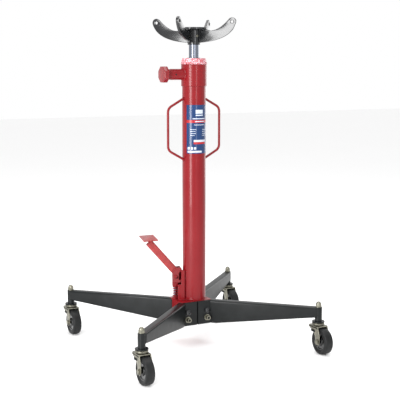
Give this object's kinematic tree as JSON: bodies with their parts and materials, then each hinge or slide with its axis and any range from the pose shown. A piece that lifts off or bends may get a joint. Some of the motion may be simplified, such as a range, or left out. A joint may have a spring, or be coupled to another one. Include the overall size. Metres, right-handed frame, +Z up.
{
  "type": "transmission jack",
  "caption": "Tall vertical hydraulic jack on splayed legs with swivel casters, foot pump pedal, side handles, release knob and a four-armed swivelling saddle on a chrome ram.",
  "frame": {"origin": "on the floor, at the middle of the jack's overall length and depth with every caster trailing to the front", "axes": "+Z up along the column, +X to the jack's right, -Y to its front, where the label faces"},
  "size_m": [0.7264, 0.733, 1.1496],
  "materials": {
    "red_paint": "glossy red enamel over steel",
    "leg_paint": "satin dark grey-black powder coat",
    "saddle_black": "glossy black enamel",
    "chrome_plate": "polished hard chrome",
    "zinc_plate": "dull zinc plate with a slight yellow cast",
    "bare_steel": "machined steel, oiled",
    "wheel_rubber": "hard black moulded tread and hub",
    "seal_rubber": "black wiper seal"
  },
  "bodies": {
    "frame": {"base_block": "red_paint", "leg_front_left": "leg_paint", "flange_screw_upper_front_left": "leg_paint", "flange_screw_lower_front_left": "zinc_plate", "caster_nut_front_left": "zinc_plate", "caster_stem_front_left": "zinc_plate", "leg_front_right": "leg_paint", "flange_screw_upper_front_right": "leg_paint", "flange_screw_lower_front_right": "zinc_plate", "caster_nut_front_right": "zinc_plate", "caster_stem_front_right": "zinc_plate", "leg_rear_left": "leg_paint", "flange_screw_upper_rear_left": "leg_paint", "flange_screw_lower_rear_left": "zinc_plate", "caster_nut_rear_left": "zinc_plate", "caster_stem_rear_left": "zinc_plate", "leg_rear_right": "leg_paint", "flange_screw_upper_rear_right": "leg_paint", "flange_screw_lower_rear_right": "zinc_plate", "caster_nut_rear_right": "zinc_plate", "caster_stem_rear_right": "zinc_plate", "column_tube": "red_paint", "column_collar": "red_paint", "gland_ring": "red_paint", "wiper_seal": "seal_rubber", "cylinder_tube": "bare_steel", "side_handle_right": "red_paint", "side_handle_left": "red_paint", "release_valve_body": "red_paint", "fulcrum_bracket": "red_paint", "pump_barrel": "red_paint", "plunger_spring": "red_paint", "fulcrum_pin": "red_paint"},
    "ram": {"ram": "chrome_plate", "ram_piston": "bare_steel"},
    "saddle": {"saddle_socket": "saddle_black", "saddle_disc": "saddle_black", "saddle_set_screw": "zinc_plate", "saddle_arm_front_left": "saddle_black", "saddle_arm_front_right": "saddle_black", "saddle_arm_rear_left": "saddle_black", "saddle_arm_rear_right": "saddle_black"},
    "pedal": {"pedal_lever": "red_paint", "pedal_plate": "red_paint"},
    "plunger": {"pump_plunger": "chrome_plate", "plunger_head": "red_paint", "plunger_pin": "red_paint"},
    "release_valve": {"release_knob": "red_paint"},
    "caster_front_left": {"caster_fork_front_left": "zinc_plate", "caster_axle_front_left": "zinc_plate"},
    "wheel_front_left": {"caster_wheel_front_left": "wheel_rubber"},
    "caster_front_right": {"caster_fork_front_right": "zinc_plate", "caster_axle_front_right": "zinc_plate"},
    "wheel_front_right": {"caster_wheel_front_right": "wheel_rubber"},
    "caster_rear_left": {"caster_fork_rear_left": "zinc_plate", "caster_axle_rear_left": "zinc_plate"},
    "wheel_rear_left": {"caster_wheel_rear_left": "wheel_rubber"},
    "caster_rear_right": {"caster_fork_rear_right": "zinc_plate", "caster_axle_rear_right": "zinc_plate"},
    "wheel_rear_right": {"caster_wheel_rear_right": "wheel_rubber"}
  },
  "joints": [
    {"name": "ram_lift", "type": "slide", "parent": "frame", "child": "ram", "axis": [0, 0, 1], "range_m": [0, 0.755]},
    {"name": "saddle_swivel", "type": "hinge", "parent": "ram", "child": "saddle", "pos_m": [0.016, 0.023, 1.0866], "axis": [0, 0, 1], "continuous": true},
    {"name": "pedal_press", "type": "hinge", "parent": "frame", "child": "pedal", "pos_m": [-0.02727, 0.03706, 0.2273], "axis": [-0.309, -0.9511, 0], "range_deg": [0, 28], "stiffness_Nm_per_rad": 6, "springref_deg": -20.05},
    {"name": "plunger_stroke", "type": "slide", "parent": "frame", "child": "plunger", "axis": [0, 0, -1], "range_m": [0, 0.0145], "deforming": ["plunger_spring"]},
    {"name": "release_turn", "type": "hinge", "parent": "frame", "child": "release_valve", "pos_m": [-0.094, 0.023, 0.9573], "axis": [-1, 0, 0], "range_deg": [0, 270]},
    {"name": "caster_swivel_front_left", "type": "hinge", "parent": "frame", "child": "caster_front_left", "pos_m": [-0.336, -0.295, 0.1], "axis": [0, 0, 1], "continuous": true},
    {"name": "wheel_roll_front_left", "type": "hinge", "parent": "caster_front_left", "child": "wheel_front_left", "pos_m": [-0.336, -0.321, 0.045], "axis": [1, 0, 0], "continuous": true},
    {"name": "caster_swivel_front_right", "type": "hinge", "parent": "frame", "child": "caster_front_right", "pos_m": [0.336, -0.295, 0.1], "axis": [0, 0, 1], "continuous": true},
    {"name": "wheel_roll_front_right", "type": "hinge", "parent": "caster_front_right", "child": "wheel_front_right", "pos_m": [0.336, -0.321, 0.045], "axis": [1, 0, 0], "continuous": true},
    {"name": "caster_swivel_rear_left", "type": "hinge", "parent": "frame", "child": "caster_rear_left", "pos_m": [-0.336, 0.341, 0.1], "axis": [0, 0, 1], "continuous": true},
    {"name": "wheel_roll_rear_left", "type": "hinge", "parent": "caster_rear_left", "child": "wheel_rear_left", "pos_m": [-0.336, 0.315, 0.045], "axis": [1, 0, 0], "continuous": true},
    {"name": "caster_swivel_rear_right", "type": "hinge", "parent": "frame", "child": "caster_rear_right", "pos_m": [0.336, 0.341, 0.1], "axis": [0, 0, 1], "continuous": true},
    {"name": "wheel_roll_rear_right", "type": "hinge", "parent": "caster_rear_right", "child": "wheel_rear_right", "pos_m": [0.336, 0.315, 0.045], "axis": [1, 0, 0], "continuous": true}
  ],
  "couplings": [
    {"joint": "plunger_stroke", "follows": "pedal_press", "m_per_rad": 0.0287}
  ]
}
